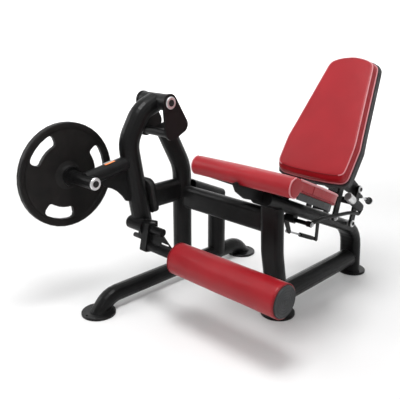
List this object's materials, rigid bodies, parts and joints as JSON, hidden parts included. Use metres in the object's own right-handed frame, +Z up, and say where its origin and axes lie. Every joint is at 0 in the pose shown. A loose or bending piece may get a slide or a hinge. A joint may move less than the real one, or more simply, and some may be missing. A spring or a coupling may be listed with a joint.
{
  "type": "plate-loaded leg extension machine",
  "caption": "Seated leg extension machine with a plate-loaded swing arm, an adjustable ankle roller, a padded seat and a backrest that slides on links.",
  "frame": {"origin": "middle of the whole machine's footprint, on the floor", "axes": "+Z up, the user faces -Y, +X to the user's left"},
  "size_m": [1.1818, 1.4956, 1.0814],
  "materials": {
    "black_paint": "satin powder coat",
    "black_plastic": "fine matte grain",
    "black_rubber": "matte",
    "plate_coat": "satin black coat",
    "grey_plastic": "matte",
    "silver": "polished",
    "steel": "satin",
    "red_vinyl": "soft satin vinyl"
  },
  "bodies": {
    "frame": {"clevis_cheek_inner": "black_paint", "clevis_cheek_outer": "black_paint", "clevis_spacer": "black_paint", "cross_tube": "black_paint", "foot_lever_front": "black_paint", "foot_lever_rear": "black_paint", "foot_seat_front": "black_paint", "foot_seat_rear": "black_paint", "front_link_axle": "steel", "gas_lug": "black_paint", "lever_base_tube": "black_paint", "lever_bracket": "black_paint", "lever_rail_stub": "black_paint", "lever_rear_post": "black_paint", "lever_upright": "black_paint", "pivot_axle": "steel", "pivot_cap": "silver", "rear_axle_cap": "silver", "rear_link_axle": "steel", "seat_base_tube": "black_paint", "seat_cushion": "red_vinyl", "seat_front_gusset": "black_paint", "seat_pan": "black_plastic", "seat_rail": "black_paint", "seat_upright": "black_paint", "stop_bumper": "black_rubber", "stop_plate": "black_paint", "stop_tube": "black_paint"},
    "lever_arm": {"arm_hub": "black_paint", "arm_bearing_inner": "steel", "arm_bearing_outer": "steel", "arm_arch": "black_paint", "plate_arm": "black_paint", "arm_gusset": "black_paint", "weight_horn": "black_paint", "horn_cap": "silver", "ankle_housing": "black_paint", "ankle_pin_barrel": "black_paint"},
    "weight_plate": {"weight_plate": "plate_coat"},
    "ankle_pin": {"ankle_pin": "steel"},
    "ankle_carrier": {"ankle_shaft": "black_paint", "ankle_selector": "black_paint", "ankle_block": "black_paint", "ankle_bar": "black_paint", "ankle_gusset": "black_paint"},
    "roller": {"roller_foam": "red_vinyl", "roller_cap_left": "grey_plastic", "roller_cap_right": "grey_plastic"},
    "front_link": {"front_link": "black_paint"},
    "rear_link": {"rear_link": "black_paint", "rear_pin_cap": "silver"},
    "back_carriage": {"back_cushion": "red_vinyl", "back_board": "black_plastic", "back_carriage": "black_paint", "pull_pin_housing": "black_paint"},
    "pull_pin": {"pull_pin": "silver"},
    "release_lever": {"release_lever": "black_paint", "release_grip": "grey_plastic"},
    "gas_cylinder": {"gas_cylinder": "black_paint"},
    "gas_rod": {"gas_rod": "steel"}
  },
  "joints": [
    {"name": "arm_hinge", "type": "hinge", "parent": "frame", "child": "lever_arm", "pos_m": [-0.2549, -0.13879, 0.8975], "axis": [-1, 0, 0], "range_deg": [0, 80]},
    {"name": "plate_slide", "type": "slide", "parent": "lever_arm", "child": "weight_plate", "axis": [-1, 0, 0], "range_m": [0, 0.22]},
    {"name": "ankle_pin_slide", "type": "slide", "parent": "lever_arm", "child": "ankle_pin", "axis": [-1, 0, 0], "range_m": [0, 0.014], "stiffness_N_per_m": 800},
    {"name": "ankle_hinge", "type": "hinge", "parent": "lever_arm", "child": "ankle_carrier", "pos_m": [-0.1909, -0.27379, 0.362], "axis": [-1, 0, 0], "range_deg": [-18, 54]},
    {"name": "roller_spin", "type": "hinge", "parent": "ankle_carrier", "child": "roller", "pos_m": [0.3091, -0.28979, 0.284], "axis": [1, 0, 0], "continuous": true},
    {"name": "front_link_hinge", "type": "hinge", "parent": "frame", "child": "front_link", "pos_m": [0.3091, 0.35121, 0.3887], "axis": [1, 0, 0], "range_deg": [-8, 24]},
    {"name": "rear_link_hinge", "type": "hinge", "parent": "frame", "child": "rear_link", "pos_m": [0.3091, 0.50471, 0.322], "axis": [1, 0, 0], "range_deg": [-8, 24]},
    {"name": "carriage_hinge", "type": "hinge", "parent": "front_link", "child": "back_carriage", "pos_m": [0.3091, 0.39921, 0.5457], "axis": [1, 0, 0], "range_deg": [-24, 8]},
    {"name": "pull_pin_slide", "type": "slide", "parent": "back_carriage", "child": "pull_pin", "axis": [0, 0.8997, -0.4366], "range_m": [0, 0.015], "stiffness_N_per_m": 800},
    {"name": "release_lever_hinge", "type": "hinge", "parent": "frame", "child": "release_lever", "pos_m": [0.3091, 0.10421, 0.43], "axis": [1, 0, 0], "range_deg": [0, 10], "stiffness_Nm_per_rad": 12},
    {"name": "gas_cylinder_hinge", "type": "hinge", "parent": "frame", "child": "gas_cylinder", "pos_m": [0.2781, 0.35821, 0.257], "axis": [1, 0, 0], "range_deg": [-2.77, 0]},
    {"name": "gas_rod_slide", "type": "slide", "parent": "gas_cylinder", "child": "gas_rod", "axis": [0, 0.9135, -0.4069], "range_m": [0, 0.00859]}
  ],
  "couplings": [
    {"joint": "rear_link_hinge", "follows": "front_link_hinge", "ratio": 1},
    {"joint": "carriage_hinge", "follows": "front_link_hinge", "ratio": -1},
    {"joint": "gas_cylinder_hinge", "follows": "release_lever_hinge", "ratio": -0.27745},
    {"joint": "gas_rod_slide", "follows": "release_lever_hinge", "m_per_rad": 0.04923}
  ]
}
